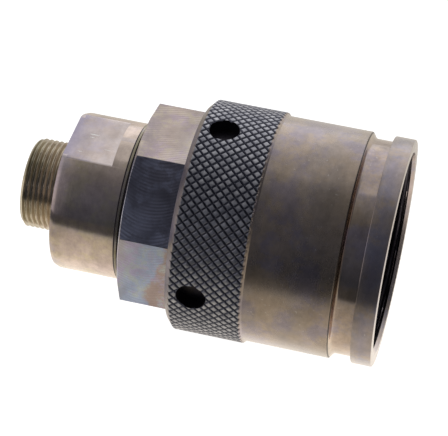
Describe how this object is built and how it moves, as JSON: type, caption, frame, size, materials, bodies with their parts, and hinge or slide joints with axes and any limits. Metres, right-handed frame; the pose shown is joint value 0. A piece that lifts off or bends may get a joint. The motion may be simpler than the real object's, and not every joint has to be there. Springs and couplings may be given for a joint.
{
  "type": "quick disconnect coupler",
  "caption": "Screw-to-connect hydraulic coupler half: threaded tube stub, body with wrench flats, knurled turning sleeve with an inside thread, and a sprung poppet valve.",
  "frame": {"origin": "centre of the tube thread's end face", "axes": "+X along the coupling's axis towards the mouth where the mating half leaves; +Z square to one wrench flat, up as the coupler lies on its knurled band"},
  "size_m": [0.1064, 0.0666, 0.0666],
  "materials": {
    "adapter_steel": "turned and milled steel with a thin brown-grey plated film",
    "sleeve_steel": "turned steel with a thin brown, blue and straw plated film, knurl blue-black",
    "valve_steel": "fine turned steel, plain zinc-nickel grey",
    "spring_steel": "smooth phosphated spring steel",
    "bearing_bronze": "plain bearing bronze",
    "seal_rubber": "matte black nitrile rubber",
    "backup_plastic": "off-white PTFE"
  },
  "bodies": {
    "valve_group": {"tube_adapter": "adapter_steel", "valve_body": "valve_steel", "adapter_oring": "seal_rubber", "adapter_backup_ring": "backup_plastic", "thrust_washer": "bearing_bronze", "guide_spider": "valve_steel", "guide_snap_ring": "spring_steel", "valve_seat_ring": "valve_steel", "seat_oring": "seal_rubber", "seat_snap_ring": "spring_steel", "nose_oring": "seal_rubber", "nose_backup_ring": "backup_plastic", "poppet_spring": "spring_steel"},
    "sleeve": {"coupling_sleeve": "sleeve_steel", "sleeve_wiper_ring": "seal_rubber", "sleeve_washer": "bearing_bronze", "sleeve_circlip": "spring_steel"},
    "poppet": {"poppet": "valve_steel", "poppet_stem": "valve_steel", "poppet_seal": "seal_rubber", "seal_retainer": "valve_steel", "retainer_screw": "spring_steel", "spring_cup": "spring_steel"}
  },
  "joints": [
    {"name": "sleeve_spin", "type": "hinge", "parent": "valve_group", "child": "sleeve", "pos_m": [0.05, 0, 0], "axis": [1, 0, 0], "continuous": true},
    {"name": "poppet_slide", "type": "slide", "parent": "valve_group", "child": "poppet", "axis": [-1, 0, 0], "range_m": [0, 0.006], "stiffness_N_per_m": 3000, "springref_m": -0.004, "deforming": ["poppet_spring"]}
  ]
}
